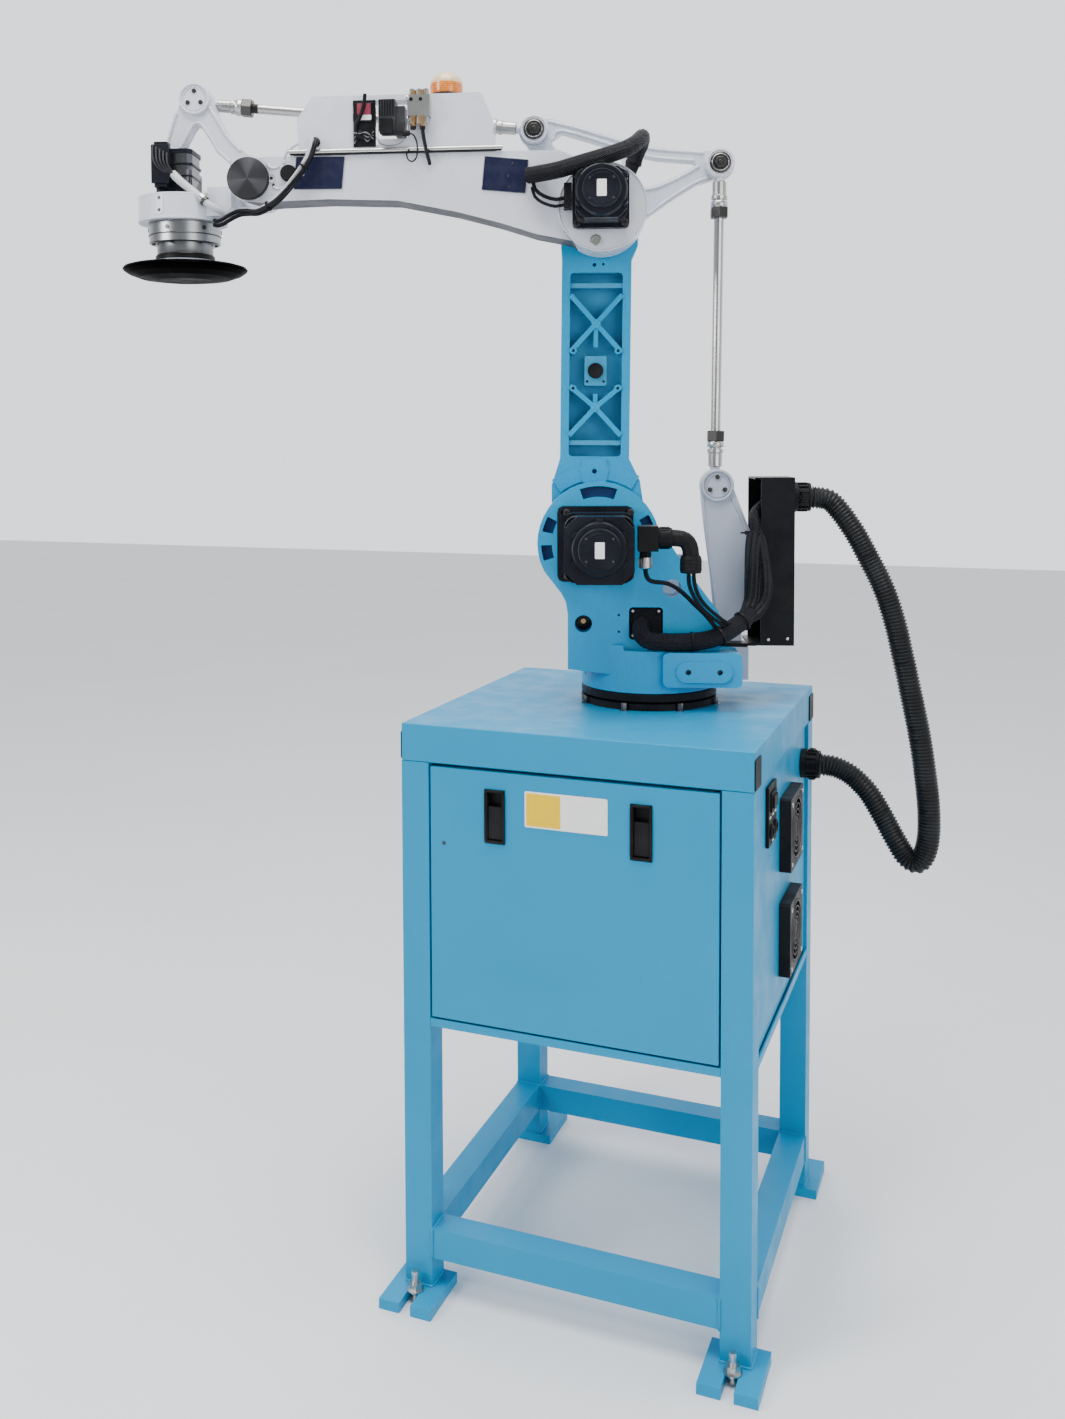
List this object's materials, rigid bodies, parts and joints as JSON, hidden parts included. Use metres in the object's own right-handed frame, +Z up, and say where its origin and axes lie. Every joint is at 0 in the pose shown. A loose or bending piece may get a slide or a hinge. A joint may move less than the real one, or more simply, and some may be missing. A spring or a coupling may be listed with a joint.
{
  "type": "floor-standing palletising robot arm",
  "caption": "Parallel-link robot arm with a level wrist and round disc tool, bolted on a sheet-metal control cabinet that stands on a tube frame; a corrugated hose joins the two.",
  "frame": {"origin": "on the floor, under the middle of the whole machine's width and depth with the hanging hose left out", "axes": "+Z up; -Y is the cabinet's door side; +X is the cabinet's right-hand side, with the fans; the arm reaches towards -X, turned 18 degrees towards the door side"},
  "size_m": [1.4472, 0.7214, 2.1454],
  "materials": {
    "cabinet_paint": "satin",
    "robot_paint": "gloss",
    "white_paint": "gloss",
    "grey_paint": "satin",
    "black_plastic": "matte",
    "motor_paint": "satin",
    "navy_cover": "satin",
    "bare_steel": "satin",
    "hose_plastic": "matte",
    "amber_lens": "gloss"
  },
  "bodies": {
    "stand": {"leg_fl": "cabinet_paint", "leg_fr": "cabinet_paint", "leg_bl": "cabinet_paint", "leg_br": "cabinet_paint", "anchor_fl": "bare_steel", "anchor_fr": "bare_steel", "anchor_bl": "bare_steel", "anchor_br": "bare_steel", "rail_front": "cabinet_paint", "rail_back": "cabinet_paint", "rail_left": "cabinet_paint", "rail_right": "cabinet_paint", "top_cap": "cabinet_paint", "floor_pan": "cabinet_paint", "side_panel_left": "cabinet_paint", "side_panel_right": "cabinet_paint", "back_panel": "cabinet_paint", "door_frame": "cabinet_paint", "fan_guard_1": "black_plastic", "fan_guard_2": "black_plastic", "switch_plate": "black_plastic", "drive_unit": "grey_paint", "gland_low": "black_plastic", "base_ring": "black_plastic", "cable_hose": "hose_plastic"},
    "door": {"door": "cabinet_paint", "latch_1": "black_plastic", "latch_2": "black_plastic"},
    "paddle_1": {"paddle_1": "black_plastic"},
    "paddle_2": {"paddle_2": "black_plastic"},
    "fan_rotor_1": {"fan_rotor_1": "black_plastic"},
    "fan_rotor_2": {"fan_rotor_2": "black_plastic"},
    "turret": {"turret": "robot_paint", "turret_ring": "black_plastic", "j2_motor": "motor_paint", "j2_connector": "black_plastic", "link_bracket": "grey_paint", "cable_column": "black_plastic", "gland_high": "black_plastic", "harness": "hose_plastic"},
    "upright": {"upright": "robot_paint"},
    "bell_crank": {"bell_crank": "white_paint"},
    "forearm": {"forearm": "white_paint", "j3_motor": "motor_paint", "arm_cover_1": "navy_cover", "arm_cover_2": "navy_cover", "tray": "white_paint", "pressure_switch": "black_plastic", "solenoid_valve": "bare_steel", "valve_coil": "black_plastic", "beacon": "amber_lens", "pivot_cap": "black_plastic", "arm_sleeve": "hose_plastic", "wrist_hoses": "hose_plastic"},
    "wrist": {"wrist": "white_paint", "j4_motor": "motor_paint"},
    "tool": {"tool_flange": "bare_steel", "suction_disc": "black_plastic"},
    "rod_1": {"rod_1": "bare_steel"},
    "rod_2": {"rod_2": "bare_steel"}
  },
  "joints": [
    {"name": "base_turn", "type": "hinge", "parent": "stand", "child": "turret", "pos_m": [0.3257, 0.0625, 1], "axis": [0, 0, 1], "range_deg": [-80, 80], "deforming": ["cable_hose"]},
    {"name": "shoulder", "type": "hinge", "parent": "turret", "child": "upright", "pos_m": [0.2363, 0.03345, 1.296], "axis": [-0.309, 0.9511, 0], "range_deg": [-60, 15]},
    {"name": "crank_level", "type": "hinge", "parent": "upright", "child": "bell_crank", "pos_m": [0.24296, 0.03562, 1.88596], "axis": [-0.309, 0.9511, 0], "range_deg": [-15, 60]},
    {"name": "elbow", "type": "hinge", "parent": "bell_crank", "child": "forearm", "pos_m": [0.24296, 0.03562, 1.88596], "axis": [-0.309, 0.9511, 0], "range_deg": [-42, 18]},
    {"name": "wrist_level", "type": "hinge", "parent": "forearm", "child": "wrist", "pos_m": [-0.35429, -0.15844, 1.94753], "axis": [-0.309, 0.9511, 0], "range_deg": [-18, 42], "deforming": ["wrist_hoses"]},
    {"name": "tool_turn", "type": "hinge", "parent": "wrist", "child": "tool", "pos_m": [-0.49648, -0.20464, 1.94753], "axis": [0, 0, 1], "range_deg": [-180, 180]},
    {"name": "rod_1_pivot", "type": "hinge", "parent": "turret", "child": "rod_1", "pos_m": [0.44268, 0.10051, 1.396], "axis": [-0.309, 0.9511, 0], "range_deg": [-60, 15]},
    {"name": "rod_2_pivot", "type": "hinge", "parent": "bell_crank", "child": "rod_2", "pos_m": [0.12503, -0.0027, 2.05396], "axis": [-0.309, 0.9511, 0], "range_deg": [-42, 18]},
    {"name": "door_hinge", "type": "hinge", "parent": "stand", "child": "door", "pos_m": [0.2904, -0.296, 0.5015], "axis": [1, 0, 0], "range_deg": [0, 95]},
    {"name": "paddle_1_tip", "type": "hinge", "parent": "door", "child": "paddle_1", "pos_m": [0.1614, -0.2955, 0.8225], "axis": [1, 0, 0], "range_deg": [0, 50]},
    {"name": "paddle_2_tip", "type": "hinge", "parent": "door", "child": "paddle_2", "pos_m": [0.4119, -0.2955, 0.8225], "axis": [1, 0, 0], "range_deg": [0, 50]},
    {"name": "fan_1_spin", "type": "hinge", "parent": "stand", "child": "fan_rotor_1", "pos_m": [0.5929, 0.03, 0.795], "axis": [1, 0, 0], "continuous": true},
    {"name": "fan_2_spin", "type": "hinge", "parent": "stand", "child": "fan_rotor_2", "pos_m": [0.5929, 0.03, 0.61], "axis": [1, 0, 0], "continuous": true}
  ],
  "couplings": [
    {"joint": "crank_level", "follows": "shoulder", "ratio": -1},
    {"joint": "rod_1_pivot", "follows": "shoulder", "ratio": 1},
    {"joint": "wrist_level", "follows": "elbow", "ratio": -1},
    {"joint": "rod_2_pivot", "follows": "elbow", "ratio": 1}
  ]
}
